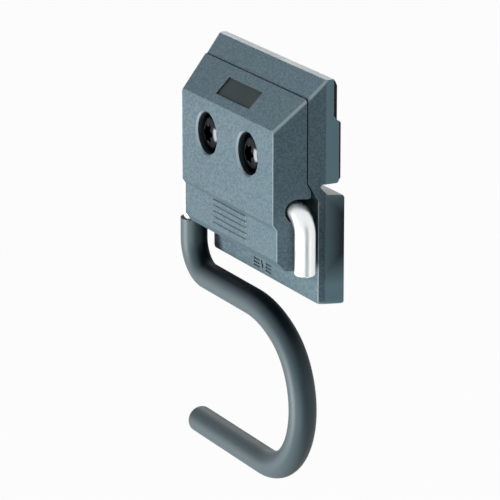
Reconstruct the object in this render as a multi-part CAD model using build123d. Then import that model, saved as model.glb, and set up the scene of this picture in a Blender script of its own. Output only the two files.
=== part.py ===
from build123d import *
import os
from math import asin, cos, radians, sin, tan

# Broom holder for a wall rail. A moulded base hooks over the rail, a moulded cover is screwed to its
# front, and the two hold a bent steel wire whose coated end is an open hook.
# Sizes are in millimetres. +X is right as seen from the front, +Y goes to the wall, +Z is up.
# Depths are counted forward from the rail face and heights from the bottom edge of that face, and the
# finished parts are moved so that the origin is the centre of the rail face.

# Base outline
base_width = 65.0
base_height = 65.4
band_depth = 6.0
base_draft = 16.0
parting_depth = 11.1
parting_gap = 0.4
shoulder_height = 36.0
plate_depth = 8.0
plate_top = 30.6
bottom_rise = 0.25
bottom_fall = 0.55
bottom_foot_chamfer = 0.5
bottom_edge_height = 0.5
bottom_edge_depth = 1.3
base_wall = 2.5
corner_radius = 1.3
bevel_edge_radius = 1.3
edge_radius = 0.4

# Back of the base, where the rail goes in
rail_face_height = 31.0
rail_lip_chamfer = 0.45
slot_top = 35.4
slot_width = 3.1
slot_end_depth = 7.34
slot_end_radius = 0.7
slot_end_slope = 50.0
slot_floor_fall = 0.65
slot_mouth_chamfer = 0.5
middle_face_depth = 1.85
middle_face_drop = 12.55
upper_face_depth = 3.55
upper_face_drop = 10.45

# Cored back of the flexing plate
core_columns = 5
core_rows = 2
core_rib = 1.6
core_skin = 2.2
core_edge = 2.2

# Cover outline
cover_depth = 20.4
cover_draft = 19.5
cover_overhang = 0.2
cover_top_overhang = 0.4
cover_front_drop = 14.0
cover_bevel_rise = 14.0
cover_bevel_run = 14.5
crease_height = 24.1
ledge_drop = 1.6
ledge_depth = 1.1
skirt_bottom = 13.5
skirt_bevel_height = 2.8
skirt_bevel_depth = 2.3
cover_wall = 2.5
tail_depth = 10.2
tail_height = 2.1
tail_chamfer = 0.45
tail_wall = 3.0

# Lip of the base that the cover seats on
lip_inset = 0.8
lip_width = 1.25

# Blank label field in the cover's bevel
label_width = 20.2
label_height = 6.2
label_recess = 0.35
label_from_front_edge = 6.0
label_centre_x = -0.3

# Grip ribs on the cover's skirt
rib_count = 5
rib_pitch = 1.72
rib_width = 0.9
rib_height = 0.3
rib_chamfer = 0.24
rib_length = 20.5
rib_centre_height = 18.4

# Pull mark pressed into the plate
mark_width = 10.7
mark_height = 2.6
mark_depth = 0.3
mark_stroke = 0.55
mark_centre_x = -1.2
mark_centre_height = 3.0

# Wire hook
rod_diameter = 6.0
rod_depth = 13.44
rod_height = 27.9
rod_clearance = 0.25
mouth_clearance = 0.65
mouth_length = 3.0
leg_offset = 34.2
leg_bend_radius = 6.0
short_leg_end = 10.4
rod_end_radius = 0.7
coat_thickness = 1.0
coat_fit = 0.02
coat_top = 9.8
hook_run_height = -5.9
hook_bend_radius = 9.5
hook_run_end = 3.1
shoulder_radius = 38.5
shoulder_turn = 29.0
bowl_radius = 22.2
tip_x = -31.3
tip_edge_radius = 1.0

# Tongues of the base that hold the wire in the cover
tongue_width = 10.0
tongue_gap = 0.6
tongue_fit = 0.02
tongue_below_rod = 2.7

# Screws and threaded inserts
screw_spacing = 25.0
screw_height = 41.3
screw_diameter = 6.0
screw_length = 12.0
head_diameter = 12.0
head_height = 4.6
head_crown = 2.0
head_recess = 0.2
head_clearance = 0.2
well_rim_chamfer = 0.5
hole_clearance = 0.2
socket_across = 5.6
socket_depth = 2.8
socket_lobe_radius = 0.7
socket_lobes = 6
insert_diameter = 8.0
insert_length = 7.0
insert_flange_diameter = 9.6
insert_flange_height = 1.0
insert_fit = 0.02
insert_groove_depth = 0.4
insert_groove_width = 0.8
boss_diameter = 14.0
boss_land_diameter = 10.4
boss_root = 1.0
screw_boss_wall = 2.0

# Rear pads
pad_inset = 0.9
pad_corner_radius = 0.6
upper_pad_thickness = 1.45
upper_pad_shoulder_drop = 1.9
upper_pad_crown_drop = 0.5
upper_pad_crown_step = 0.65
middle_pad_thickness = 1.3
pad_edge_chamfer = 0.5

# How far a cut runs past a face, and how close an edge must lie to be picked
cut_past = 1.0
pick_tolerance = 0.01

# Sizes worked out from the ones above
base_slope = tan(radians(base_draft))
cover_slope = tan(radians(cover_draft))
middle_face_top = base_height - middle_face_drop
upper_face_bottom = base_height - upper_face_drop
cover_front_top = base_height - cover_front_drop
base_half_width = base_width / 2
base_front_depth = parting_depth - parting_gap / 2
cover_rear_depth = parting_depth + parting_gap / 2
rod_radius = rod_diameter / 2
coat_radius = rod_radius + coat_thickness
groove_radius = rod_radius + rod_clearance
mouth_radius = rod_radius + mouth_clearance
bottom_slope = (bottom_rise + bottom_fall) / plate_depth
slot_floor_in = slot_top - slot_width
cover_bevel_slope = cover_bevel_rise / cover_bevel_run
cover_bevel_length = (cover_bevel_rise ** 2 + cover_bevel_run ** 2) ** 0.5
head_floor_depth = cover_depth - head_recess - head_height
quarter_mid = 1 - cos(radians(45))
span = 2 * (base_width + cover_depth)


def cover_half_width(depth):
    """Half the cover's width at a depth from the rail face."""
    parting_half_width = base_side_half_width(parting_depth) + cover_overhang
    return parting_half_width - (depth - parting_depth) * cover_slope


def base_side_half_width(depth):
    """Half the base's width at a depth, ahead of its straight band."""
    return base_half_width - (depth - band_depth) * base_slope


def cover_bevel_height(depth):
    """Height of the cover's top bevel at a depth."""
    return cover_front_top + (cover_depth - depth) * cover_bevel_slope


def side_shape(points, width):
    """A solid as wide as width from an outline of (depth, height) points."""
    outline = Polyline(*[(-depth, height) for depth, height in points], close=True)
    return extrude(Plane.YZ * make_face(outline), width / 2, both=True)


def plan_shape(points):
    """A tall solid from the right half of a plan outline of (half width, depth) points."""
    right = [(half, -depth) for half, depth in points]
    left = [(-half, -depth) for half, depth in reversed(points)]
    return extrude(Plane.XY * make_face(Polyline(*right, *left, close=True)), span, both=True)


def block(width, depths, heights, x=0.0):
    """A plain block between two depths and two heights, centred on x."""
    deep, high = abs(depths[1] - depths[0]), abs(heights[1] - heights[0])
    centre = (x, -(depths[0] + depths[1]) / 2, (heights[0] + heights[1]) / 2)
    return Pos(*centre) * Box(width, deep, high)


def bar(radius, x, height, depth_front, depth_rear):
    """A round bar along Y between two depths."""
    length = depth_front - depth_rear
    centre = (x, -(depth_front + depth_rear) / 2, height)
    return Pos(*centre) * Rot(90, 0, 0) * Cylinder(radius, length)


def screw_places():
    """The x of each screw."""
    return (-screw_spacing / 2, screw_spacing / 2)


def side_edges(solid, low_depth, high_depth, low_height, high_height, inner):
    """Edges of a solid that lie between two depths and two heights, outside |x| = inner."""
    chosen = []
    for edge in solid.edges():
        box = edge.bounding_box()
        outside = min(abs(box.min.X), abs(box.max.X)) > inner and box.min.X * box.max.X > 0
        deep = -box.max.Y >= low_depth - pick_tolerance and -box.min.Y <= high_depth + pick_tolerance
        high = box.min.Z >= low_height - pick_tolerance and box.max.Z <= high_height + pick_tolerance
        if outside and deep and high:
            chosen.append(edge)
    return chosen


def make_base():
    """Rear housing: band, bevel, rail slot, flexing plate, bosses and wire tongues."""
    front_top = cover_bevel_height(base_front_depth) - cover_top_overhang
    slot_end_centre = (slot_end_depth - slot_end_radius, slot_top - slot_end_radius)
    profile = [
        (0, -bottom_fall), (0, rail_face_height),
        (rail_lip_chamfer, slot_floor_in - slot_floor_fall),
        *slot_end_slope_points(slot_end_centre), (slot_end_centre[0], slot_top),
        (middle_face_depth + slot_mouth_chamfer, slot_top),
        (middle_face_depth, slot_top + slot_mouth_chamfer),
        (middle_face_depth, middle_face_top), (upper_face_depth, upper_face_bottom),
        (upper_face_depth, base_height), (band_depth, base_height),
        (base_front_depth, front_top), (base_front_depth, shoulder_height),
        (plate_depth, plate_top), (plate_depth, bottom_rise),
    ]
    plan = plan_shape([
        (base_half_width, -band_depth), (base_half_width, band_depth),
        (base_side_half_width(base_front_depth), base_front_depth),
    ])
    base = side_shape(profile, span) & plan

    bevel_edges = side_edges(base, band_depth, base_front_depth, front_top, base_height, edge_radius)
    base = fillet(bevel_edges, bevel_edge_radius)
    bottom_edges = side_edges(base, 0, plate_depth, -bottom_fall, bottom_rise, edge_radius)
    base = fillet(bottom_edges, corner_radius)
    plate_edges = side_edges(base, plate_depth, plate_depth, bottom_rise, plate_top, edge_radius)
    base = fillet(plate_edges, edge_radius)

    base -= bottom_chamfers()
    slot_end = Pos(0, -slot_end_centre[0], slot_end_centre[1]) * Rot(0, 90, 0)
    base -= slot_end * Cylinder(slot_end_radius, span)
    base -= base_cavity()
    base -= plate_cores()
    base += spacer_lip()
    for x in screw_places():
        base += bar(boss_diameter / 2, x, screw_height, base_front_depth, upper_face_depth + boss_root)
        base += bar(boss_land_diameter / 2, x, screw_height, cover_rear_depth, band_depth)
        base += wire_tongue(x)
    for x in screw_places():
        base -= insert_pocket(x)
    return base - pull_mark()


def bottom_chamfers():
    """Wedges that ease the foot of the rail face and the front edge of the sloping underside."""
    edge_rear = plate_depth - bottom_edge_depth
    rear_height = bottom_rise - bottom_edge_depth * bottom_slope
    rise = (bottom_edge_height - rear_height) / bottom_edge_depth
    ahead, behind = plate_depth + cut_past, edge_rear - cut_past
    front = side_shape([
        (ahead, bottom_edge_height + cut_past * rise), (behind, rear_height - cut_past * rise),
        (behind, -bottom_foot_chamfer - cut_past), (ahead, -bottom_foot_chamfer - cut_past),
    ], span)
    reach = bottom_foot_chamfer + cut_past
    return front + side_shape([(-cut_past, cut_past), (reach, -reach), (-cut_past, -reach)], span)


def slot_end_slope_points(centre):
    """Foot and top of the slope that lifts the rail's edge into the slot's round end."""
    slope = radians(slot_end_slope)
    top = (centre[0] + slot_end_radius * sin(slope), centre[1] - slot_end_radius * cos(slope))
    foot = (top[0] - (top[1] - slot_floor_in) / tan(slope), slot_floor_in)
    return [foot, top]


def base_cavity():
    """Hollow of the base behind the parting face."""
    half = base_side_half_width(base_front_depth) - base_wall
    floor = upper_face_depth + base_wall
    top = cover_bevel_height(base_front_depth) - cover_top_overhang - base_wall
    return block(2 * half, (floor, cover_depth), (shoulder_height + base_wall, top))


def plate_cores():
    """Pockets in the back of the plate, between ribs."""
    pitch_x = (base_width - 2 * core_edge + core_rib) / core_columns
    pitch_z = (rail_face_height - 2 * core_edge + core_rib) / core_rows
    depths = (-cut_past, plate_depth - core_skin)
    pockets = Part()
    for column in range(core_columns):
        x = (column - (core_columns - 1) / 2) * pitch_x
        for row in range(core_rows):
            low = core_edge + row * pitch_z
            pockets += block(pitch_x - core_rib, depths, (low, low + pitch_z - core_rib), x)
    return pockets


def spacer_lip():
    """Low lip on the parting face that the cover seats on, set in from the edge."""
    half = base_side_half_width(base_front_depth) - lip_inset
    low = shoulder_height + lip_inset
    high = cover_bevel_height(base_front_depth) - cover_top_overhang - lip_inset
    lip = block(2 * half, (band_depth, cover_rear_depth), (low, high))
    inner = half - lip_width
    hollow = block(2 * inner, (0, cover_depth), (low + lip_width, high - lip_width))
    body = block(2 * half, (0, base_front_depth - parting_gap), (low, high))
    return lip - hollow - body


def wire_tongue(x):
    """Tongue that hangs from the shoulder behind the wire, clear of the flexing plate."""
    front = rod_depth - rod_radius - tongue_fit
    rear = plate_depth + tongue_gap
    low = rod_height - tongue_below_rod
    return block(tongue_width, (rear, front), (low, shoulder_height + edge_radius), x)


def insert_pocket(x):
    """Stepped hole for a threaded insert, pressed in from the back."""
    rear = middle_face_depth
    flange_end = rear + insert_flange_height
    body_radius = insert_diameter / 2 + insert_fit
    flange_radius = insert_flange_diameter / 2 + insert_fit
    pocket = bar(flange_radius, x, screw_height, flange_end, -cut_past)
    pocket += bar(body_radius, x, screw_height, rear + insert_length, 0)
    pocket += bar(screw_diameter / 2 + hole_clearance, x, screw_height, cover_depth, 0)
    return pocket


def pull_mark():
    """A down arrow between two bars, pressed into the plate."""
    half_width, half_height = mark_width / 2, mark_height / 2
    arrow = Polyline((-half_height, half_height), (half_height, half_height), (0, -half_height), close=True)
    sketch = make_face(arrow)
    bar_length = half_width - half_height - mark_stroke
    for side in (-1, 1):
        bar_x = side * (half_width - bar_length / 2)
        for level in (-1, 0, 1):
            place = Pos(bar_x, level * (half_height - mark_stroke / 2))
            sketch += place * Rectangle(bar_length, mark_stroke)
    plane = Plane(origin=(mark_centre_x, -plate_depth, mark_centre_height), x_dir=(1, 0, 0), z_dir=(0, -1, 0))
    return extrude(plane * sketch, mark_depth, both=True)


def make_cover():
    """Front housing: bevelled block with skirt, screw wells, label field and wire groove."""
    cover_bottom = skirt_bottom - skirt_bevel_height
    skirt_depth = cover_depth - ledge_depth
    tail_bottom = rod_height + mouth_radius
    profile = [
        (cover_depth, crease_height), (cover_depth, cover_front_top),
        (cover_rear_depth, cover_bevel_height(cover_rear_depth)),
        (cover_rear_depth, shoulder_height), (tail_depth, tail_bottom + tail_height),
        (tail_depth, tail_bottom + tail_chamfer), (tail_depth + tail_chamfer, tail_bottom),
        (cover_rear_depth, tail_bottom), (cover_rear_depth, cover_bottom),
        (skirt_depth - skirt_bevel_depth, cover_bottom), (skirt_depth, skirt_bottom),
        (skirt_depth, crease_height - ledge_drop),
    ]
    plan = plan_shape([
        (cover_half_width(tail_depth), tail_depth), (cover_half_width(cover_depth), cover_depth),
    ])
    cover = side_shape(profile, span) & plan

    front_top = cover_front_top
    rear_top = cover_bevel_height(cover_rear_depth)
    bevel_edges = side_edges(cover, cover_rear_depth, cover_depth, front_top, rear_top, edge_radius)
    cover = fillet(bevel_edges, bevel_edge_radius)
    front_edges = side_edges(cover, skirt_depth, cover_depth, skirt_bottom, cover_front_top, edge_radius)
    cover = fillet(front_edges, edge_radius)

    cover -= cover_cavities()
    for x in screw_places():
        cover += screw_boss(x)
    cover -= wire_groove()
    for x in screw_places():
        cover -= screw_well(x)
    cover -= label_field()
    return cover + grip_ribs()


def cover_cavities():
    """Hollows in the back of the cover, above and below the wire."""
    floor = cover_depth - cover_wall
    half = cover_half_width(floor) - cover_wall
    low = rod_height + groove_radius + cover_wall
    top = cover_bevel_height(cover_rear_depth) - cover_wall
    front_high = cover_bevel_height(floor) - cover_wall * cover_bevel_length / cover_bevel_run
    upper = side_shape([(0, low), (0, top), (cover_rear_depth, top), (floor, front_high), (floor, low)], 2 * half)

    skirt_floor = cover_depth - ledge_depth - cover_wall
    skirt_low = skirt_bottom - skirt_bevel_height + cover_wall
    skirt_high = rod_height - groove_radius - cover_wall
    lower = block(2 * half, (0, skirt_floor), (skirt_low, skirt_high))

    inner_half = cover_half_width(tail_depth) - tail_wall
    behind = block(2 * inner_half, (0, cover_rear_depth), (0, base_height))
    return upper + lower + behind


def screw_boss(x):
    """Round boss that carries a screw head's well down to the base."""
    radius = head_diameter / 2 + head_clearance + screw_boss_wall
    return bar(radius, x, screw_height, cover_depth - cover_wall, cover_rear_depth)


def screw_well(x):
    """Stepped hole for a screw, with a chamfered rim."""
    radius = head_diameter / 2 + head_clearance
    well = bar(radius, x, screw_height, cover_depth + cut_past, head_floor_depth)
    well += bar(screw_diameter / 2 + hole_clearance, x, screw_height, cover_depth, 0)
    flare = Cone(radius, radius + well_rim_chamfer, well_rim_chamfer)
    return well + Pos(x, -cover_depth + well_rim_chamfer / 2, screw_height) * Rot(90, 0, 0) * flare


def groove_run(radius, width, x=0.0):
    """Straight groove along X, round at the front and open to the back."""
    run = Pos(x, -rod_depth, rod_height) * Rot(0, 90, 0) * Cylinder(radius, width)
    return run + block(width, (0, rod_depth), (rod_height - radius, rod_height + radius), x)


def wire_groove():
    """Groove for the wire, with a wider mouth at each side, eased where the legs turn down."""
    groove = groove_run(groove_radius, span)
    mouth_middle = cover_half_width(rod_depth) - mouth_length + span / 4
    for side in (-1, 1):
        groove += groove_run(mouth_radius, span / 2, side * mouth_middle)
        bend = leg_bend(side)
        straight = (bend[0][0], bend[0][1] - leg_bend_radius)
        groove += swept_tube([Line(straight, bend[0]), ThreePointArc(*bend)], groove_radius)
    return groove


def label_field():
    """Shallow blank rectangle in the bevel."""
    run = cover_bevel_run / cover_bevel_length
    rise = cover_bevel_rise / cover_bevel_length
    depth = cover_depth - label_from_front_edge * run
    height = cover_front_top + label_from_front_edge * rise
    plane = Plane(origin=(label_centre_x, -depth, height), x_dir=(1, 0, 0), z_dir=(0, -rise, run))
    return extrude(plane * Rectangle(label_width, label_height), label_recess, both=True)


def grip_ribs():
    """Raised half-round ribs across the skirt."""
    ribs = Part()
    skirt_depth = cover_depth - ledge_depth
    for number in range(rib_count):
        height = rib_centre_height + (number - (rib_count - 1) / 2) * rib_pitch
        rib = block(rib_length, (skirt_depth - rib_height, skirt_depth + rib_height),
                    (height - rib_width / 2, height + rib_width / 2))
        front = rib.faces().sort_by(Axis.Y)[0]
        ribs += chamfer(front.edges(), rib_chamfer)
    return ribs


def leg_bend(side):
    """Quarter turn of the wire from a leg into the cover: side is 1 on the right and -1 on the left."""
    leg, top, radius = side * leg_offset, rod_height, leg_bend_radius
    inner = leg - side * radius
    middle = (leg - side * radius * quarter_mid, top - radius * quarter_mid)
    return [(leg, top - radius), middle, (inner, top)]


def hook_outline(end_x):
    """Lines and arcs of the hook below the coat's top, down the left leg and round to the tip."""
    leg, run, bend = -leg_offset, hook_run_height, hook_bend_radius
    bend_mid = (leg + bend * quarter_mid, run + bend * quarter_mid)
    shoulder_mid = shoulder_point(radians(shoulder_turn) / 2)
    knee = shoulder_point(radians(shoulder_turn))
    bowl_mid = bowl_point(radians(shoulder_turn + 180) / 2)
    bowl_bottom = bowl_point(radians(180))
    return [
        ThreePointArc((leg, run + bend), bend_mid, (leg + bend, run)),
        Line((leg + bend, run), (hook_run_end, run)),
        ThreePointArc((hook_run_end, run), shoulder_mid, knee),
        ThreePointArc(knee, bowl_mid, bowl_bottom),
        Line(bowl_bottom, (end_x, bowl_bottom[1])),
    ]


def shoulder_point(angle):
    """A point of the wide arc that leaves the upper run."""
    return (hook_run_end + shoulder_radius * sin(angle), hook_run_height - shoulder_radius * (1 - cos(angle)))


def bowl_point(angle):
    """A point of the bowl, which carries on from the wide arc to the lower run."""
    turn = radians(shoulder_turn)
    knee_x, knee_height = shoulder_point(turn)
    centre = (knee_x - bowl_radius * sin(turn), knee_height - bowl_radius * cos(turn))
    return (centre[0] + bowl_radius * sin(angle), centre[1] + bowl_radius * cos(angle))


def wire_outline(end_x):
    """Lines and arcs of the whole wire, from the short right leg to the tip."""
    right, left = leg_bend(1), leg_bend(-1)
    return [
        Line((leg_offset, short_leg_end), right[0]),
        ThreePointArc(*right),
        Line(right[2], left[2]),
        ThreePointArc(*reversed(left)),
        Line(left[0], (-leg_offset, hook_run_height + hook_bend_radius)),
    ] + hook_outline(end_x)


def swept_tube(outline, radius):
    """A round bar along tangent lines and arcs, drawn in the hook's plane."""
    plane = Plane(origin=(0, -rod_depth, 0), x_dir=(1, 0, 0), z_dir=(0, -1, 0))
    path = Wire([plane * piece for piece in outline])
    section = Plane(origin=path @ 0, z_dir=path % 0) * Circle(radius)
    return sweep(section, path)


def end_rim(bar_solid, centre):
    """The round edge at an end of a bar."""
    rims = [edge for edge in bar_solid.edges().filter_by(GeomType.CIRCLE) if edge.is_closed]
    return min(rims, key=lambda edge: (edge.arc_center - Vector(*centre)).length)


def make_rod():
    """Bent steel wire, bare on its short leg and inside the coat."""
    rod = swept_tube(wire_outline(tip_x + coat_thickness), rod_radius)
    return fillet([end_rim(rod, (leg_offset, -rod_depth, short_leg_end))], rod_end_radius)


def make_coat():
    """Plastic coat over the hook, closed at the tip."""
    leg_part = [Line((-leg_offset, coat_top), (-leg_offset, hook_run_height + hook_bend_radius))]
    outer = swept_tube(leg_part + hook_outline(tip_x), coat_radius)
    tip = (tip_x, -rod_depth, bowl_point(radians(180))[1])
    outer = fillet([end_rim(outer, tip)], tip_edge_radius)
    core = swept_tube(leg_part + hook_outline(tip_x + coat_thickness), rod_radius + coat_fit)
    return outer - core


def lobed_socket():
    """Outline of a six-lobe driver socket."""
    reach = socket_across / 2 - socket_lobe_radius
    socket = Sketch() + Circle(reach)
    for number in range(socket_lobes):
        angle = radians(number * 360 / socket_lobes)
        socket += Pos(reach * cos(angle), reach * sin(angle)) * Circle(socket_lobe_radius)
    return socket


def make_screw(x):
    """Low domed screw with a lobed socket, seated in its well."""
    head_radius = head_diameter / 2
    side_height = head_height - head_crown
    dome_radius = (head_radius ** 2 + head_crown ** 2) / (2 * head_crown)
    half_turn = asin(head_radius / dome_radius) / 2
    dome_mid = (dome_radius * sin(half_turn), head_height - dome_radius * (1 - cos(half_turn)))
    profile = make_face([
        Line((0, 0), (head_radius, 0)),
        Line((head_radius, 0), (head_radius, side_height)),
        ThreePointArc((head_radius, side_height), dome_mid, (0, head_height)),
        Line((0, head_height), (0, 0)),
    ])
    head = revolve(Plane.XZ * profile, Axis.Z)
    head = fillet(head.edges().sort_by_distance((head_radius, 0, side_height))[0:1], edge_radius)
    head -= Pos(0, 0, head_height - socket_depth) * extrude(lobed_socket(), socket_depth)
    shank = Pos(0, 0, -screw_length / 2) * Cylinder(screw_diameter / 2, screw_length)
    shank = chamfer(shank.edges().sort_by(Axis.Z)[0], edge_radius)
    return Pos(x, -head_floor_depth, screw_height) * Rot(90, 0, 0) * (head + shank)


def make_insert(x):
    """Threaded insert with a rear flange and two grooves."""
    rear = middle_face_depth
    insert = bar(insert_flange_diameter / 2, x, screw_height, rear + insert_flange_height, rear)
    insert += bar(insert_diameter / 2, x, screw_height, rear + insert_length, rear)
    groove_pitch = (insert_length - insert_flange_height) / 3
    for number in (1, 2):
        middle = rear + insert_flange_height + number * groove_pitch
        front, back = middle + insert_groove_width / 2, middle - insert_groove_width / 2
        ring = bar(insert_diameter / 2 + cut_past, x, screw_height, front, back)
        ring -= bar(insert_diameter / 2 - insert_groove_depth, x, screw_height, front, back)
        insert -= ring
    return insert - bar(screw_diameter / 2 + insert_fit, x, screw_height, cover_depth, -cut_past)


def make_upper_pad():
    """Pad behind the top of the base, wedged onto the slope below it."""
    slope = (upper_face_bottom - middle_face_top) / (upper_face_depth - middle_face_depth)
    rear = upper_face_depth - upper_pad_thickness
    foot = upper_face_bottom - upper_pad_thickness * slope
    top = base_height - edge_radius / 2
    return side_shape([
        (upper_face_depth, upper_face_bottom), (rear, foot), (rear, top - upper_pad_shoulder_drop),
        (rear + upper_pad_crown_step, top - upper_pad_crown_drop), (upper_face_depth, top),
    ], base_width - 2 * pad_inset)


def make_middle_pad():
    """Pad behind the screws, over the inserts."""
    low, high = slot_top + slot_mouth_chamfer, middle_face_top
    rear = middle_face_depth - middle_pad_thickness
    width = base_width - 2 * pad_inset
    pad = block(width, (rear, middle_face_depth), (low, high))
    pad = fillet(pad.edges().filter_by(Axis.Y), pad_corner_radius)
    back = pad.faces().sort_by(Axis.Y)[-1]
    return chamfer(back.edges(), pad_edge_chamfer)


def make_nodes():
    """Every piece of the holder, by node name, in the frame of the rail face's centre."""
    nodes = {
        "base_housing": make_base(),
        "cover_housing": make_cover(),
        "hook_wire": make_rod(),
        "hook_coat": make_coat(),
        "clamp_screws": Compound([make_screw(x) for x in screw_places()]),
        "threaded_inserts": Compound([make_insert(x) for x in screw_places()]),
        "upper_rear_pad": make_upper_pad(),
        "middle_rear_pad": make_middle_pad(),
    }
    to_origin = Pos(0, 0, -rail_face_height / 2)
    return {name: to_origin * shape for name, shape in nodes.items()}


os.makedirs("parts", exist_ok=True)
for node_name, node_shape in make_nodes().items():
    export_step(node_shape, f"parts/{node_name}.step")
    print(node_name, round(node_shape.volume, 1))
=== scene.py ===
# %% [markdown]
# A broom holder for a wall rail: two moulded housings, a bent steel wire whose lower half wears a
# plastic coat, two black screws, brass inserts and two rubber pads. Its shapes come finished from
# the CAD frame. The looks could be painted pictures wrapped on the shapes, but a picture stretches
# on a curved wire and blurs close up. This lesson builds every finish from shader nodes that read
# the place on the part, so grain and scratches have their real size on every piece.

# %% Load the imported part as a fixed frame
from math import cos, pi, radians, sin

import bpy
from mathutils import Matrix, Vector


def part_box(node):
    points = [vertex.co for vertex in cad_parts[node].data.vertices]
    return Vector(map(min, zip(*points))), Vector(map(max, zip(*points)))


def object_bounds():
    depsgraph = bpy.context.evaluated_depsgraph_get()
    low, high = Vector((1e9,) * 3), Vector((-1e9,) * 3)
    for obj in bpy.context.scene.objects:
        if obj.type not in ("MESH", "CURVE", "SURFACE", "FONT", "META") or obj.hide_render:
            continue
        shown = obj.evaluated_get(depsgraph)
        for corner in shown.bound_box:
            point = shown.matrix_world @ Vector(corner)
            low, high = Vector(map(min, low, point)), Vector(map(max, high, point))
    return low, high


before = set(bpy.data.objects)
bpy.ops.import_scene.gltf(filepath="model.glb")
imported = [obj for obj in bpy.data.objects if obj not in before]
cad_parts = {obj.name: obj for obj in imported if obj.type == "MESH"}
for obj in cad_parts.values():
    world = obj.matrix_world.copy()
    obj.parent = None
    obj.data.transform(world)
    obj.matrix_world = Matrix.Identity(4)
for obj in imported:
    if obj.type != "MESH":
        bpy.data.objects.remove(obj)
cad_low, cad_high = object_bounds()
MM = 0.001
print("nodes:", ", ".join(sorted(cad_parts)))

# %% [markdown]
# The camera looks at the holder from its right front, a little from above. A long lens from a metre
# away keeps the upright edges nearly parallel, as in a catalogue picture. The angles, the distance
# and the lens were fitted together to the straight edges of the object, because any one of them
# alone can be traded against the others. The camera, the lamps and a card all stand round the
# holder and look at it, so one helper places them all. It builds the three axes by hand, which is
# clearer than nesting rotations.

# %% Camera
VIEW_AZIMUTH = 62.18
VIEW_ELEVATION = 16.86
VIEW_DISTANCE = 1051.9 * MM
AIM = Vector((-0.56, -12.48, -7.12)) * MM
SENSOR_WIDTH = 36.0
FRAME_PIXELS = 500
FOCAL_PIXELS = 3650


def direction_of(azimuth, elevation):
    """Unit vector from the holder, azimuth from the front towards the right, both in degrees."""
    turn, lift = radians(azimuth), radians(elevation)
    return Vector((sin(turn) * cos(lift), -cos(turn) * cos(lift), sin(lift)))


def facing_holder(azimuth, elevation, distance):
    """A place round the holder, turned so that its -Z looks at the holder."""
    back = direction_of(azimuth, elevation)
    right = Vector((0, 0, 1)).cross(back).normalized()
    axes = Matrix((right, back.cross(right), back)).transposed().to_4x4()
    return Matrix.Translation(AIM + back * distance) @ axes


camera_data = bpy.data.cameras.new("view")
camera_data.sensor_width = SENSOR_WIDTH
camera_data.lens = FOCAL_PIXELS / FRAME_PIXELS * SENSOR_WIDTH
camera = bpy.data.objects.new("view", camera_data)
camera.matrix_world = facing_holder(VIEW_AZIMUTH, VIEW_ELEVATION, VIEW_DISTANCE)
bpy.context.scene.collection.objects.link(camera)
bpy.context.scene.camera = camera
print("camera at", tuple(round(v, 3) for v in camera.location), "lens", round(camera_data.lens, 1))

# %% [markdown]
# A shader is a tree of small nodes. Making and linking them one by one takes many lines that all
# look alike, so a few helpers do it, and what follows reads like a formula: a sum or a product, a
# ramp from one range to another, and a fade from 1 down to 0.

# %% Helpers for nodes
ORIGIN = (0.0, 0.0, 0.0)


def link(tree, source, target):
    tree.links.new(source, target)


def feed(tree, value, socket):
    """Sets a socket to a number or a vector, or links it to another socket."""
    if isinstance(value, bpy.types.NodeSocket):
        link(tree, value, socket)
    else:
        socket.default_value = value


def fill(tree, node, **values):
    """Feeds a node's sockets by name. An underscore stands for a space."""
    for socket_name, value in values.items():
        feed(tree, value, node.inputs[socket_name.replace("_", " ")])


def maths(tree, operation, first, second=0.0):
    """One maths node."""
    node = tree.nodes.new("ShaderNodeMath")
    node.operation = operation
    feed(tree, first, node.inputs[0])
    feed(tree, second, node.inputs[1])
    return node.outputs[0]


def times(tree, first, *others):
    """The product of all the values."""
    for other in others:
        first = maths(tree, "MULTIPLY", first, other)
    return first


def inverted(tree, mask):
    """0 where the mask is 1, and 1 where it is 0."""
    return maths(tree, "SUBTRACT", 1.0, mask)


def vector_maths(tree, operation, first, second=ORIGIN, result="Vector"):
    """One vector maths node."""
    node = tree.nodes.new("ShaderNodeVectorMath")
    node.operation = operation
    feed(tree, first, node.inputs[0])
    feed(tree, second, node.inputs[1])
    return node.outputs[result]


def ramp(tree, value, low, high, to_low=0.0, to_high=1.0):
    """A clamped linear change from one range to another."""
    node = tree.nodes.new("ShaderNodeMapRange")
    fill(tree, node, Value=value, From_Min=low, From_Max=high, To_Min=to_low, To_Max=to_high)
    return node.outputs["Result"]


def fade(tree, value, low, high):
    """1 up to low, 0 from high on."""
    return ramp(tree, value, low, high, 1.0, 0.0)


def axes_of(tree, vector):
    """The X, Y and Z of a vector, each an output of its own."""
    node = tree.nodes.new("ShaderNodeSeparateXYZ")
    link(tree, vector, node.inputs["Vector"])
    return node.outputs


# %% [markdown]
# The world is white to the camera and to mirror-like rays but gives the object much less light.
# Light Path tells the rays apart. Turning the light up until the background burns out would bleach
# the plastic too.

# %% World
AMBIENT = (0.062, 0.080, 0.092, 1.0)
WHITE = (1.0, 1.0, 1.0, 1.0)


def background_rays(tree):
    """1 for rays that see the background itself: camera, glossy and transmitted rays."""
    path = tree.nodes.new("ShaderNodeLightPath").outputs
    mirrored = maths(tree, "MAXIMUM", path["Is Glossy Ray"], path["Is Transmission Ray"])
    return maths(tree, "MAXIMUM", path["Is Camera Ray"], mirrored)


def coloured(tree, kind, colour):
    """The output of a shader node of one plain colour."""
    node = tree.nodes.new(kind)
    node.inputs["Color"].default_value = colour
    return node.outputs[0]


def blend_shaders(tree, share, first, second, output_kind):
    """Puts out the first shader where the share is 0 and the second where it is 1."""
    blend = tree.nodes.new("ShaderNodeMixShader")
    link(tree, share, blend.inputs["Fac"])
    link(tree, first, blend.inputs[1])
    link(tree, second, blend.inputs[2])
    link(tree, blend.outputs[0], tree.nodes.new(output_kind).inputs["Surface"])


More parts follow.
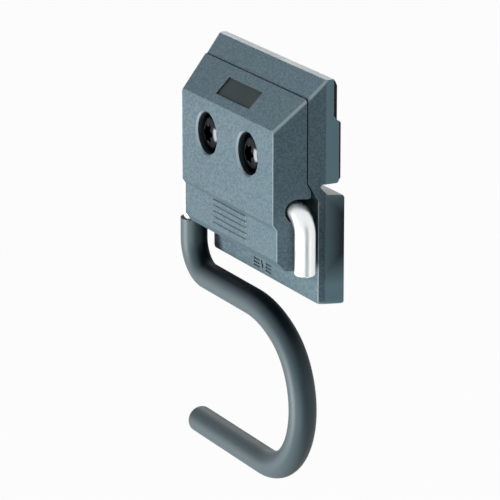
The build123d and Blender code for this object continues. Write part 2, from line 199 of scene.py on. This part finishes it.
world = bpy.data.worlds.new("studio")
world.use_nodes = True
sky = world.node_tree
sky.nodes.clear()
blend_shaders(sky, background_rays(sky), coloured(sky, "ShaderNodeBackground", AMBIENT),
              coloured(sky, "ShaderNodeBackground", WHITE), "ShaderNodeOutputWorld")
bpy.context.scene.world = world
print("world:", world.name)

# %% [markdown]
# The holder hangs on a rail, so the floor lies well below it and only a soft shadow reaches it. The
# floor is white to the same rays as the world. A few hundredths of it stay matt paint even to the
# camera, which keeps a trace of the shadow.

# %% Floor
FLOOR_DROP = 650 * MM
FLOOR_SIZE = 14.0
FLOOR_PAINT = (0.8, 0.8, 0.8, 1.0)
FLOOR_WHITE_SHARE = 0.97


def flat_sheet(name, width, height, material):
    """A rectangle in its own XY plane, centred on its origin."""
    right, top = width / 2, height / 2
    mesh = bpy.data.meshes.new(name)
    mesh.from_pydata([(-right, -top, 0), (right, -top, 0), (right, top, 0), (-right, top, 0)],
                     [], [(0, 1, 2, 3)])
    mesh.materials.append(material)
    sheet = bpy.data.objects.new(name, mesh)
    bpy.context.scene.collection.objects.link(sheet)
    return sheet


floor_paint = bpy.data.materials.new("floor_paint")
floor_paint.use_nodes = True
paint = floor_paint.node_tree
paint.nodes.clear()
blend_shaders(paint, times(paint, background_rays(paint), FLOOR_WHITE_SHARE),
              coloured(paint, "ShaderNodeBsdfDiffuse", FLOOR_PAINT),
              coloured(paint, "ShaderNodeEmission", WHITE), "ShaderNodeOutputMaterial")
floor = flat_sheet("floor", FLOOR_SIZE, FLOOR_SIZE, floor_paint)
floor.location.z = cad_low[2] - FLOOR_DROP
print("floor height", round(floor.location.z, 3), "m")

# %% [markdown]
# Soft boxes light the holder from the front and left, a little from below, so that the upright
# front is the brightest face, the bevel above it is darker and the right side is darker still. The
# key box is tall and narrow, which gives the screw heads and the coated wire their streak of light.
# A sun lamp would give hard shadows and no such streak. The strip box stands further round to the
# right: it gives the side its light and lets the wire shade the wall behind it. The rear box only
# lifts the top. Directions are given as azimuth, from the front towards the right, and elevation,
# like the camera's.

# %% Soft boxes
LAMPS = {
    # name: (azimuth, elevation, distance in metres, width, height, power in watts)
    "key_box": (-19, -12, 1.1, 0.26, 0.60, 8.2),
    "left_box": (-70, -8, 1.1, 0.60, 0.80, 0.9),
    "strip_box": (36, -17, 1.1, 0.12, 0.60, 1.5),
    "right_box": (118, -14, 1.1, 0.30, 0.70, 0.35),
    "rear_box": (-112, 22, 1.2, 0.50, 0.30, 1.9),
}


def soft_box(name, azimuth, elevation, distance, width, height, power):
    """A rectangular area lamp that faces the holder."""
    data = bpy.data.lights.new(name, "AREA")
    data.shape = "RECTANGLE"
    data.size = width
    data.size_y = height
    data.energy = power
    lamp = bpy.data.objects.new(name, data)
    lamp.matrix_world = facing_holder(azimuth, elevation, distance)
    bpy.context.scene.collection.objects.link(lamp)


for lamp_name, settings in LAMPS.items():
    soft_box(lamp_name, *settings)
print("soft boxes:", ", ".join(LAMPS))

# %% [markdown]
# A bright wire shows the whole studio. A pale grey card beside the camera puts one soft darker band
# down its middle, which tells the eye that it is plated metal and not white plastic. A band painted
# into the metal would not move when the part turns. The camera does not see the card.

# %% Grey card
CARD_PLACE = (82, -12, 0.8)
CARD_WIDTH = 0.40
CARD_HEIGHT = 1.20
CARD_GREY = (0.78, 0.84, 0.84, 1.0)

card_paint = bpy.data.materials.new("card_grey")
card_paint.use_nodes = True
card_shader = card_paint.node_tree.nodes["Principled BSDF"]
card_shader.inputs["Base Color"].default_value = CARD_GREY
card_shader.inputs["Specular IOR Level"].default_value = 0.0
card = flat_sheet("grey_card", CARD_WIDTH, CARD_HEIGHT, card_paint)
card.matrix_world = facing_holder(*CARD_PLACE)
card.visible_camera = False
print("grey card at", tuple(round(v, 2) for v in card.matrix_world.translation), "m")

# %% [markdown]
# Colour is judged by the plain Standard view, in which a base colour of the material comes out as
# it was written when the light on it is at a plain level.

# %% Plain colour view
bpy.context.scene.view_settings.view_transform = "Standard"
print("view:", bpy.context.scene.view_settings.view_transform)

# %% [markdown]
# Effects that several finishes share are node groups: a small machine with named sockets that is
# built once and dropped into each material with its own values. One helper makes a group and its
# sockets. Two more give what most groups start from: soft noise, and the normal of the bare shape.

# %% Helpers for node groups


def new_group(name, inputs, outputs):
    """An empty shader group. A socket's default, a number or a vector, also tells its type."""
    group = bpy.data.node_groups.new(name, "ShaderNodeTree")
    for side, sockets in (("INPUT", inputs), ("OUTPUT", outputs)):
        for socket_name, default in sockets.items():
            kind = "NodeSocketVector" if isinstance(default, tuple) else "NodeSocketFloat"
            socket = group.interface.new_socket(socket_name, in_out=side, socket_type=kind)
            socket.default_value = default
    return group, group.nodes.new("NodeGroupInput"), group.nodes.new("NodeGroupOutput")


def noise(tree, place, scale, detail=2.0):
    """Soft noise from 0 to 1, scale in features per metre."""
    node = tree.nodes.new("ShaderNodeTexNoise")
    fill(tree, node, Vector=place, Scale=scale, Detail=detail)
    return node.outputs["Fac"]


def true_normal(tree):
    """The normal of the bare shape, before any bump or rounding."""
    return tree.nodes.new("ShaderNodeNewGeometry").outputs["True Normal"]


# %% [markdown]
# Spark-eroded grain is the fine sandy skin of a moulded housing: craters in the steel mould print
# as tiny bumps a little over half a millimetre wide, and their tops catch the light as pale specks.
# A bump picture could do it. Two layers of noise, one for craters and one for finer pitting, need
# no picture and never repeat.

# %% Group: spark-eroded grain
PITTING_FINER = 1.7
CRATER_SHARE = 0.6
SPECK_RANGE = (0.36, 0.64)
PLAIN_SPECK = 0.5

grain, inside, outside = new_group(
    "Spark eroded grain",
    {"Place": ORIGIN, "Grains per metre": 1700.0, "Amount": 1.0},
    {"Height": 0.0, "Specks": 0.0})
grain_place = inside.outputs["Place"]
fineness = inside.outputs["Grains per metre"]
grain_amount = inside.outputs["Amount"]
craters = grain.nodes.new("ShaderNodeTexVoronoi")
craters.feature = "SMOOTH_F1"
fill(grain, craters, Vector=grain_place, Scale=fineness)
pitting = noise(grain, grain_place, times(grain, fineness, PITTING_FINER))
skin = maths(grain, "ADD", times(grain, craters.outputs["Distance"], CRATER_SHARE), pitting)
link(grain, times(grain, skin, grain_amount), outside.inputs["Height"])
specks = ramp(grain, noise(grain, grain_place, fineness, detail=1.0), *SPECK_RANGE)
calmed = times(grain, maths(grain, "SUBTRACT", specks, PLAIN_SPECK), grain_amount)
link(grain, maths(grain, "ADD", calmed, PLAIN_SPECK), outside.inputs["Specks"])
print("group:", grain.name)

# %% [markdown]
# Moulded edges are never knife sharp. Handling wears them, and on the housings their paler colour
# is partly that wear and partly a painted highlight. A Bevel node asks how much the surface turns
# within a small radius. Where its answer differs from the surface's own normal there is an edge,
# and the same answer is a rounded normal for the shading.

# %% Group: worn edges
EDGE_SAMPLES = 6
EDGE_ONSET = 0.01

worn_edges, inside, outside = new_group(
    "Worn edges",
    {"Radius": 0.4 * MM, "Sharpness": 0.25},
    {"Mask": 0.0, "Rounded normal": ORIGIN})
bevel = worn_edges.nodes.new("ShaderNodeBevel")
bevel.samples = EDGE_SAMPLES
link(worn_edges, inside.outputs["Radius"], bevel.inputs["Radius"])
rounded = bevel.outputs["Normal"]
unrounded = worn_edges.nodes.new("ShaderNodeNewGeometry").outputs["Normal"]
turned = inverted(worn_edges, vector_maths(worn_edges, "DOT_PRODUCT", rounded, unrounded, "Value"))
link(worn_edges, ramp(worn_edges, turned, EDGE_ONSET, inside.outputs["Sharpness"]),
     outside.inputs["Mask"])
link(worn_edges, rounded, outside.inputs["Rounded normal"])
print("group:", worn_edges.name)

# %% [markdown]
# A real fillet is part of the shape, so the Bevel node finds nothing there. What marks it is a
# normal that lies between two faces: it points partly sideways and still partly to the front. Such
# turns are smoother than the grained faces, because whatever brushes past polishes them. They are
# also painted paler, partly as that wear and partly as a painted highlight.

# %% Group: polished turns with a painted highlight
LEAVING_FRONT = (0.15, 0.50)
REACHING_SIDE = (0.80, 0.92)
FACING_FRONT = (-0.35, -0.15)

polished_highlit_turns, inside, outside = new_group("Polished highlit turns", {}, {"Mask": 0.0})
normal = axes_of(polished_highlit_turns, true_normal(polished_highlit_turns))
sideways = maths(polished_highlit_turns, "ABSOLUTE", normal["X"])
turning = times(polished_highlit_turns,
                ramp(polished_highlit_turns, sideways, *LEAVING_FRONT),
                fade(polished_highlit_turns, sideways, *REACHING_SIDE),
                fade(polished_highlit_turns, normal["Y"], *FACING_FRONT))
link(polished_highlit_turns, turning, outside.inputs["Mask"])
print("group:", polished_highlit_turns.name)

# %% [markdown]
# The ledge across the cover's front and the bevels along its foot tilt towards the ground, and they
# get painted shade: a darker colour than the upright front beside them. Picking those faces out by
# hand would tie the finish to one mesh. The Z of the true normal tells the tilt on any mesh, and
# its
# Y leaves out the side walls and the back.

# %% Group: painted shade on downward slopes
TILTED_DOWN = (-0.50, -0.35)

painted_slope_shade, inside, outside = new_group("Painted slope shade", {}, {"Mask": 0.0})
normal = axes_of(painted_slope_shade, true_normal(painted_slope_shade))
tilting = times(painted_slope_shade,
                fade(painted_slope_shade, normal["Z"], *TILTED_DOWN),
                fade(painted_slope_shade, normal["Y"], *FACING_FRONT))
link(painted_slope_shade, tilting, outside.inputs["Mask"])
print("group:", painted_slope_shade.name)

# %% [markdown]
# Seams and the gap round the wire are painted almost black, as painted shade where little light
# gets in.
# Darker paint along each seam would have to follow every edge. The ambient occlusion node measures
# how open the near space round a point is, and where it is closed off the mask is 1.

# %% Group: painted crevice shade
CREVICE_SAMPLES = 8

painted_crevice_shade, inside, outside = new_group(
    "Painted crevice shade",
    {"Reach": 5.0 * MM, "Open": 0.85, "Closed": 0.25},
    {"Mask": 0.0})
openness = painted_crevice_shade.nodes.new("ShaderNodeAmbientOcclusion")
openness.samples = CREVICE_SAMPLES
link(painted_crevice_shade, inside.outputs["Reach"], openness.inputs["Distance"])
closed_off = fade(painted_crevice_shade, openness.outputs["AO"],
                  inside.outputs["Closed"], inside.outputs["Open"])
link(painted_crevice_shade, closed_off, outside.inputs["Mask"])
print("group:", painted_crevice_shade.name)

# %% [markdown]
# Some parts of one moulding have another finish: the band at the wall is smooth, and the label
# field is a bare flat rectangle. A second object per finish would leave seams. A mask that is 1
# inside a box keeps the moulding whole. The box may lie along a sloping face, so its place is first
# turned by the slope.

# %% Group: finish zone
finish_zone, inside, outside = new_group(
    "Finish zone",
    {"Place": ORIGIN, "Centre": ORIGIN, "Half size": ORIGIN, "Slope": 0.0, "Softness": 0.05 * MM},
    {"Inside": 0.0})
turn = finish_zone.nodes.new("ShaderNodeVectorRotate")
turn.rotation_type = "X_AXIS"
fill(finish_zone, turn, Vector=inside.outputs["Place"], Center=inside.outputs["Centre"],
     Angle=inside.outputs["Slope"])
offset = vector_maths(finish_zone, "SUBTRACT", turn.outputs["Vector"], inside.outputs["Centre"])
distance = vector_maths(finish_zone, "ABSOLUTE", offset)
beyond = axes_of(finish_zone, vector_maths(finish_zone, "SUBTRACT", distance,
                                           inside.outputs["Half size"]))
furthest = maths(finish_zone, "MAXIMUM", beyond["X"],
                 maths(finish_zone, "MAXIMUM", beyond["Y"], beyond["Z"]))
link(finish_zone, fade(finish_zone, furthest, 0.0, inside.outputs["Softness"]),
     outside.inputs["Inside"])
print("group:", finish_zone.name)

# %% [markdown]
# Nothing that hangs in a workshop is evenly clean. Slow noise that raises and lowers the roughness
# reads as finger marks and a film of dust, and breaks up large plain faces.

# %% Group: handling film
PATCH_RANGE = (0.3, 0.7)

handling, inside, outside = new_group(
    "Handling film",
    {"Place": ORIGIN, "Patches per metre": 90.0, "Low": 0.4, "High": 0.5},
    {"Roughness": 0.0, "Patches": 0.0})
patches = noise(handling, inside.outputs["Place"], inside.outputs["Patches per metre"], detail=4.0)
link(handling, ramp(handling, patches, *PATCH_RANGE, inside.outputs["Low"], inside.outputs["High"]),
     outside.inputs["Roughness"])
link(handling, ramp(handling, patches, *PATCH_RANGE), outside.inputs["Patches"])
print("group:", handling.name)

# %% [markdown]
# Drawn wire and turned screw heads carry fine lines that all run one way. Squeezing the place that
# a noise reads along the lines stretches its spots into streaks, so one group gives both the wire's
# long streaks and, fed with a radius, the rings of a turned head.

# %% Group: tool lines
tool_lines, inside, outside = new_group(
    "Tool lines",
    {"Place": ORIGIN, "Squeeze": (1.0, 1.0, 1.0), "Lines per metre": 6000.0},
    {"Height": 0.0})
squeezed = vector_maths(tool_lines, "MULTIPLY", inside.outputs["Place"], inside.outputs["Squeeze"])
streaks = noise(tool_lines, squeezed, inside.outputs["Lines per metre"], detail=3.0)
link(tool_lines, streaks, outside.inputs["Height"])
print("group:", tool_lines.name)

# %% [markdown]
# Each finish starts as one Principled shader. These helpers drop a group into a material with its
# own values, read the place on the part in metres, mix two colours by a mask, and join a bump to a
# rounded normal.

# %% Helpers for materials


def start_material(name, **sockets):
    """A material with one Principled shader whose plain numbers are set on its own sockets."""
    material = bpy.data.materials.new(name)
    material.use_nodes = True
    tree = material.node_tree
    shader = tree.nodes["Principled BSDF"]
    fill(tree, shader, **sockets)
    return material, tree, shader


def part_place(tree):
    """The place on the part, in metres from the frame's origin."""
    return tree.nodes.new("ShaderNodeTexCoord").outputs["Object"]


def use_group(tree, group, **values):
    """The outputs of a shared group in this material, with its own values."""
    node = tree.nodes.new("ShaderNodeGroup")
    node.node_tree = group
    fill(tree, node, **values)
    return node.outputs


def mix_colours(tree, mask, first, second):
    """first where the mask is 0, second where it is 1."""
    node = tree.nodes.new("ShaderNodeMix")
    node.data_type = "RGBA"
    mask_socket, first_socket, second_socket = node.inputs[0], node.inputs[6], node.inputs[7]
    feed(tree, mask, mask_socket)
    feed(tree, first, first_socket)
    feed(tree, second, second_socket)
    return node.outputs[2]


def bump(tree, height, depth, normal=None):
    """A bump whose full height is depth metres, on top of another normal."""
    node = tree.nodes.new("ShaderNodeBump")
    fill(tree, node, Height=height, Distance=depth)
    if normal is not None:
        link(tree, normal, node.inputs["Normal"])
    return node.outputs["Normal"]


# %% [markdown]
# Three zones of the housings are not grained blue-grey. The band at the wall is smooth, and it is
# found from the box of the base. The label field lies on the cover's bevel, so its centre is
# reached by going up that bevel from its front edge. A dark patch of painted shade lies on the
# band's rear edge, with a soft border a few millimetres wide.

# %% Zones of the housings
BAND_DEPTH = 6.0 * MM
base_low, base_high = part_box("base_housing")
band_zone = {
    "Centre": ((base_low.x + base_high.x) / 2,
               base_high.y - BAND_DEPTH / 2,
               (base_low.z + base_high.z) / 2),
    "Half_size": (base_high.x - base_low.x, BAND_DEPTH / 2, base_high.z - base_low.z),
}

LABEL_WIDTH = 20.2 * MM
LABEL_HEIGHT = 6.2 * MM
LABEL_HALF_DEPTH = 0.525 * MM
LABEL_FROM_EDGE = 6.0 * MM
LABEL_CENTRE_X = -0.3 * MM
BEVEL_RUN = 14.5
BEVEL_RISE = 14.0
BEVEL_SLOPE = radians(-44.0)
RAIL_FACE_FOOT = -15.5 * MM
FRONT_FACE_TOP = RAIL_FACE_FOOT + 51.4 * MM
cover_low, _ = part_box("cover_housing")
up_the_bevel = Vector((0, BEVEL_RUN, BEVEL_RISE)).normalized()
bevel_front_edge = Vector((LABEL_CENTRE_X, cover_low.y, FRONT_FACE_TOP))
label_centre = bevel_front_edge + up_the_bevel * LABEL_FROM_EDGE
label_zone = {
    "Centre": tuple(label_centre),
    "Half_size": (LABEL_WIDTH / 2, LABEL_HEIGHT / 2, LABEL_HALF_DEPTH),
    "Slope": BEVEL_SLOPE,
}

rear_shade_zone = {
    "Centre": (base_high.x, 0.0, 5.0 * MM),
    "Half_size": (1.0 * MM, 0.8 * MM, 6.0 * MM),
    "Softness": 9.0 * MM,
}
print("label centre", tuple(round(v / MM, 2) for v in label_centre), "mm")

# %% [markdown]
# The housings are blue-grey moulded plastic, painted paler towards the right as painted light. One
# material could serve both, but the base has the smooth band and the cover has the label field, so
# a function makes two from the same recipe and takes the zone that is smooth. Inside the zone the
# grain fades out and another colour takes over. A smooth face is glossier than a grained one: that
# gloss is a thin clear coat whose weight follows the masks, because a coat weight can be carried to
# other programs and a varying specular level cannot.

# %% Finish: moulded housings
HOUSING_BLUE = (0.181, 0.268, 0.316, 1.0)
# Painted light: the housings turn towards this paler colour on the right.
HOUSING_LIT_RIGHT = (0.223, 0.332, 0.386, 1.0)
HOUSING_SPECK = (0.300, 0.400, 0.450, 1.0)
# Colour of the grain's pits, also used as the painted shade on downward slopes.
HOUSING_PIT_AND_SLOPE_SHADE = (0.100, 0.165, 0.200, 1.0)
# Edges and turns go pale: partly wear, partly a painted highlight.
HOUSING_EDGE_WEAR_AND_HIGHLIGHT = (0.640, 0.760, 0.790, 1.0)
# Painted shade in seams and crevices.
CREVICE_SHADE_BLACK = (0.010, 0.014, 0.018, 1.0)
BAND_BLUE = (0.285, 0.450, 0.515, 1.0)
LABEL_OLIVE = (0.050, 0.072, 0.076, 1.0)
# Painted shade on the band's rear edge.
REAR_EDGE_SHADE = (0.018, 0.027, 0.034, 1.0)
PAINTED_LIGHT_OVER = (-28 * MM, 28 * MM)
GRAIN_DEPTH = 0.03 * MM
MOTTLE_SHARE = 0.5
SLOPE_SHADE = 0.65
EDGE_WEAR_AND_HIGHLIGHT = 0.4
TURN_WEAR_AND_HIGHLIGHT = 0.9
TURN_POLISH = 0.2
GLOSS_COAT = 0.28
FILM_LOW, FILM_HIGH = 0.50, 0.62
FILM_MIDDLE = (FILM_LOW + FILM_HIGH) / 2


def grained_colour(tree, place, specks):
    """Blue-grey with painted light to the right, mottled by grain, and painted shade on downward
    slopes.
    """
    # Painted light: paler towards the right.
    paler = ramp(tree, axes_of(tree, place)["X"], *PAINTED_LIGHT_OVER)
    plain = mix_colours(tree, paler, HOUSING_BLUE, HOUSING_LIT_RIGHT)
    mottle = mix_colours(tree, specks, HOUSING_PIT_AND_SLOPE_SHADE, HOUSING_SPECK)
    # Painted shade on faces that tilt downwards.
    shade = times(tree, use_group(tree, painted_slope_shade)["Mask"], SLOPE_SHADE)
    return mix_colours(tree, shade, mix_colours(tree, MOTTLE_SHARE, plain, mottle), HOUSING_PIT_AND_SLOPE_SHADE)


def housing_plastic(name, zone, zone_colour, zone_roughness, zone_gloss, shade_zone=None):
    """Grained plastic with one smooth zone of another colour and, if given, a zone of painted
    shade.
    """
    material, tree, shader = start_material(name, Specular_IOR_Level=0.15, Coat_Roughness=0.4)
    place = part_place(tree)
    smooth = use_group(tree, finish_zone, Place=place, **zone)["Inside"]
    skin = use_group(tree, grain, Place=place, Amount=inverted(tree, smooth))
    edges = use_group(tree, worn_edges, Radius=0.2 * MM)
    turns = use_group(tree, polished_highlit_turns)["Mask"]
    film = use_group(tree, handling, Place=place, Low=FILM_LOW, High=FILM_HIGH)
    colour = mix_colours(tree, smooth, grained_colour(tree, place, skin["Specks"]), zone_colour)
    gloss = times(tree, smooth, zone_gloss)
    if shade_zone:
        # Painted shade: a dark patch on the band's rear edge.
        painted_light_mask = use_group(tree, finish_zone, Place=place, **shade_zone)["Inside"]
        colour = mix_colours(tree, painted_light_mask, colour, REAR_EDGE_SHADE)
        gloss = times(tree, gloss, inverted(tree, painted_light_mask))
    # Painted shade where the near space round a point is closed off.
    shaded = mix_colours(tree, use_group(tree, painted_crevice_shade)["Mask"], colour, CREVICE_SHADE_BLACK)
    # Paler edges and turns: partly wear, partly a painted highlight.
    worn = maths(tree, "MAXIMUM", times(tree, edges["Mask"], EDGE_WEAR_AND_HIGHLIGHT),
                 times(tree, turns, TURN_WEAR_AND_HIGHLIGHT))
    roughness = maths(tree, "ADD", film["Roughness"],
                      times(tree, smooth, zone_roughness - FILM_MIDDLE))
    fill(tree, shader,
         Base_Color=mix_colours(tree, worn, shaded, HOUSING_EDGE_WEAR_AND_HIGHLIGHT),
         Roughness=maths(tree, "SUBTRACT", roughness, times(tree, turns, TURN_POLISH)),
         Coat_Weight=times(tree, maths(tree, "MAXIMUM", gloss, turns), GLOSS_COAT),
         Normal=bump(tree, skin["Height"], GRAIN_DEPTH, edges["Rounded normal"]))
    return material


base_plastic = housing_plastic("base_plastic", band_zone, BAND_BLUE, zone_roughness=0.38,
                               zone_gloss=1.0, shade_zone=rear_shade_zone)
cover_plastic = housing_plastic("cover_plastic", label_zone, LABEL_OLIVE, zone_roughness=0.55,
                                zone_gloss=0.0)
print("finishes:", base_plastic.name, "and", cover_plastic.name)

# %% [markdown]
# The hook is dipped in a dark plastic coat, satin rather than glossy: it mirrors the soft box as a
# blurred band. Its skin is smooth with a slow orange-peel wave from the dipping. The side that
# faces forward and the whole lower bow get painted light, a paler colour, and more shine, while the
# short run close under the housing keeps the dark colour as painted shade. The direction of the
# normal and the height on the part make that mask.

# %% Finish: dipped coat
# Painted light and shade: a lit and a shaded copy of the coat's colour.
COAT_SHADED = (0.010, 0.016, 0.021, 1.0)
COAT_LIT = (0.052, 0.112, 0.132, 1.0)
LIT_SIDE = (0.50, -0.83, -0.25)
TOWARDS_LIT_SIDE = (0.20, 0.95)
HOUSING_SHADE_HEIGHT = -20 * MM
LIT_BOW_HEIGHT = -38 * MM
BOW_PAINTED_LIGHT = 0.5
LEAST_PATCH_LIGHT = 0.85
LIT_SIDE_SHINE = 0.9
RIM = (0.55, 1.0)
RIM_DULLING = 0.1
PEEL_PER_METRE = 420.0
PEEL_DEPTH = 0.02 * MM


def dipped_coat():
    """Dark satin plastic with painted light on its forward side and lower bow, shinier there, a
    little duller at its rim.
    """
    material, tree, shader = start_material(
        "hook_coat_plastic", Specular_IOR_Level=0.05, Coat_Roughness=0.5, Coat_IOR=1.8)
    place = part_place(tree)
    film = use_group(tree, handling, Place=place, Patches_per_metre=140.0, Low=0.50, High=0.58)
    edges = use_group(tree, worn_edges, Radius=0.5 * MM)
    # Painted light on the forward side and the lower bow, painted shade close under the housing.
    towards_lit_side = vector_maths(tree, "DOT_PRODUCT", true_normal(tree), LIT_SIDE, "Value")
    lit_bow = ramp(tree, axes_of(tree, place)["Z"], LIT_BOW_HEIGHT, HOUSING_SHADE_HEIGHT, BOW_PAINTED_LIGHT, 0.0)
    painted_light_mask = maths(tree, "MAXIMUM", ramp(tree, towards_lit_side, *TOWARDS_LIT_SIDE), lit_bow)
    patchy = times(tree, painted_light_mask, ramp(tree, film["Patches"], 0.0, 1.0, LEAST_PATCH_LIGHT, 1.0))
    glancing = tree.nodes.new("ShaderNodeLayerWeight").outputs["Facing"]
    dulling = ramp(tree, glancing, *RIM, 0.0, RIM_DULLING)
    peel = noise(tree, place, PEEL_PER_METRE, detail=1.0)
    fill(tree, shader,
         Base_Color=mix_colours(tree, patchy, COAT_SHADED, COAT_LIT),
         Roughness=maths(tree, "ADD", film["Roughness"], dulling),
         Coat_Weight=times(tree, painted_light_mask, LIT_SIDE_SHINE),
         Normal=bump(tree, peel, PEEL_DEPTH, edges["Rounded normal"]))
    return material


coat_plastic = dipped_coat()
print("finish:", coat_plastic.name)

# %% [markdown]
# The bare wire is zinc plated, bright but satin, with a trace of white bloom, so it is not a full
# mirror. Its fine drawing lines run along the wire, which stands upright on the visible leg and
# lies sideways inside the cover. They are a bump and not a colour, so that they only show where
# light grazes them.

# %% Finish: bright wire
WIRE_ZINC = (0.93, 0.95, 0.95, 1.0)
WIRE_STAIN = (0.80, 0.85, 0.85, 1.0)
STAIN_SHARE = 0.4
UPRIGHT_LINES = (1.0, 1.0, 0.03)
DRAWN_DEPTH = 0.006 * MM


def zinc_wire():
    """Bright plated metal with drawing lines and faint stains."""
    material, tree, shader = start_material("bright_zinc", Metallic=0.9)
    place = part_place(tree)
    lines = use_group(tree, tool_lines, Place=place, Squeeze=UPRIGHT_LINES, Lines_per_metre=5000.0)
    film = use_group(tree, handling, Place=place, Patches_per_metre=260.0, Low=0.28, High=0.38)
    edges = use_group(tree, worn_edges, Radius=0.3 * MM)
    stain = times(tree, film["Patches"], STAIN_SHARE)
    fill(tree, shader,
         Base_Color=mix_colours(tree, stain, WIRE_ZINC, WIRE_STAIN),
         Roughness=film["Roughness"],
         Normal=bump(tree, lines["Height"], DRAWN_DEPTH, edges["Rounded normal"]))
    return material


bright_zinc = zinc_wire()
print("finish:", bright_zinc.name)

# %% [markdown]
# The screws and the inserts are turned parts with faint rings round their axes. The axis nearer to
# a point is found by folding the part's left half onto its right, so one formula serves both.

# %% Rings round the screw axes
SCREW_HEAD_DIAMETER = 12.0 * MM
screw_low, screw_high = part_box("clamp_screws")
screw_x = screw_high.x - SCREW_HEAD_DIAMETER / 2
screw_z = (screw_low.z + screw_high.z) / 2
print("screw axes at x", round(screw_x / MM, 2), "and z", round(screw_z / MM, 2), "mm")


def screw_radius(tree, place):
    """Distance from the nearer screw axis. Both run front to back, one on each side."""
    folded = vector_maths(tree, "ABSOLUTE", place)
    offset = vector_maths(tree, "SUBTRACT", folded, (screw_x, 0.0, screw_z))
    flattened = vector_maths(tree, "MULTIPLY", offset, (1.0, 0.0, 1.0))
    return vector_maths(tree, "LENGTH", flattened, result="Value")


def turned_rings(tree, radius, lines_per_metre):
    """The height of tool lines that run round an axis."""
    spread = tree.nodes.new("ShaderNodeCombineXYZ")
    link(tree, radius, spread.inputs["X"])
    return use_group(tree, tool_lines, Place=spread.outputs["Vector"],
                     Lines_per_metre=lines_per_metre)["Height"]


# %% [markdown]
# The screws are blackened steel. A metal with a very dark colour mirrors little at any angle, where
# black paint would go grey at a glancing one. A driver has polished the ring round each socket, and
# that ring alone is bright enough to show the key box.

# %% Finish: black screws
SCREW_BLACK = (0.010, 0.011, 0.014, 1.0)
SCREW_WORN = (0.036, 0.038, 0.041, 1.0)
SCREW_TINT = (0.4, 0.4, 0.4, 1.0)
DRIVEN_RING = (4.1 * MM, 4.7 * MM)
SCREW_EDGE_WEAR = 0.5
SCREW_RING_DEPTH = 0.004 * MM


def black_screw_finish():
    """Near-black metal, brighter round the socket and on its edges."""
    material, tree, shader = start_material("black_screw", Metallic=1.0, Specular_Tint=SCREW_TINT)
    place = part_place(tree)
    radius = screw_radius(tree, place)
    rings = turned_rings(tree, radius, 4200.0)
    edges = use_group(tree, worn_edges, Radius=0.25 * MM, Sharpness=0.4)
    film = use_group(tree, handling, Place=place, Patches_per_metre=400.0, Low=0.10, High=0.16)
    worn = maths(tree, "MAXIMUM", fade(tree, radius, *DRIVEN_RING),
                 times(tree, edges["Mask"], SCREW_EDGE_WEAR))
    fill(tree, shader,
         Base_Color=mix_colours(tree, worn, SCREW_BLACK, SCREW_WORN),
         Roughness=film["Roughness"],
         Normal=bump(tree, rings, SCREW_RING_DEPTH, edges["Rounded normal"]))
    return material


black_screw = black_screw_finish()
print("finish:", black_screw.name)

# %% [markdown]
# The inserts are hidden until the pads are peeled off. They are taken as turned brass, which is
# usual for such inserts, with the same rings as the screws on a warm metal.

# %% Finish: brass inserts
BRASS = (0.72, 0.50, 0.20, 1.0)
BRASS_DULL = (0.45, 0.31, 0.13, 1.0)
BRASS_RING_DEPTH = 0.01 * MM


def brass_finish():
    """Turned brass, bright in places and dull in others."""
    material, tree, shader = start_material("turned_brass", Metallic=1.0)
    place = part_place(tree)
    rings = turned_rings(tree, screw_radius(tree, place), 5000.0)
    film = use_group(tree, handling, Place=place, Patches_per_metre=500.0, Low=0.24, High=0.40)
    fill(tree, shader,
         Base_Color=mix_colours(tree, film["Patches"], BRASS, BRASS_DULL),
         Roughness=film["Roughness"],
         Normal=bump(tree, rings, BRASS_RING_DEPTH))
    return material


turned_brass = brass_finish()
print("finish:", turned_brass.name)

# %% [markdown]
# The pads behind the top are black rubber that keeps the holder from rattling. Their wall side has
# a fine chequered tread, and dust stays in its valleys. Cutting it into the mesh would cost many
# thousands of faces for less than a tenth of a millimetre, so two waves are multiplied into a bump.

# %% Finish: rubber pads
RUBBER_BLACK = (0.010, 0.011, 0.013, 1.0)
RUBBER_DUST = (0.055, 0.055, 0.055, 1.0)
DUST_SHARE = 0.35
TREAD_PITCH = 1.2 * MM
TREAD_FLANK = 0.4
TREAD_DEPTH = 0.08 * MM


def rubber_finish():
    """Black rubber with a chequered tread and dust between its blocks."""
    material, tree, shader = start_material("pad_rubber", Specular_IOR_Level=0.15)
    place = part_place(tree)
    axes = axes_of(tree, place)
    across, upward = (maths(tree, "SINE", times(tree, axes[axis], 2 * pi / TREAD_PITCH))
                      for axis in ("X", "Z"))
    tread = ramp(tree, times(tree, across, upward), -TREAD_FLANK, TREAD_FLANK)
    film = use_group(tree, handling, Place=place, Patches_per_metre=200.0, Low=0.45, High=0.6)
    dusty = times(tree, inverted(tree, tread), DUST_SHARE)
    fill(tree, shader,
         Base_Color=mix_colours(tree, dusty, RUBBER_BLACK, RUBBER_DUST),
         Roughness=film["Roughness"],
         Normal=bump(tree, tread, TREAD_DEPTH))
    return material


pad_rubber = rubber_finish()
print("finish:", pad_rubber.name)

# %% [markdown]
# A CAD node keeps its mesh and gets its finish by filling its material slots. Joining the meshes
# or making new ones would lose what the CAD knows about each piece.

# %% Give every node its finish
FINISHES = {
    "base_housing": base_plastic,
    "cover_housing": cover_plastic,
    "hook_coat": coat_plastic,
    "hook_wire": bright_zinc,
    "clamp_screws": black_screw,
    "threaded_inserts": turned_brass,
    "upper_rear_pad": pad_rubber,
    "middle_rear_pad": pad_rubber,
}
for node_name, finish in FINISHES.items():
    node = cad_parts[node_name]
    for material_slot in node.material_slots:
        material_slot.material = finish
    print(node_name, "->", finish.name, "on", len(node.material_slots), "slots")
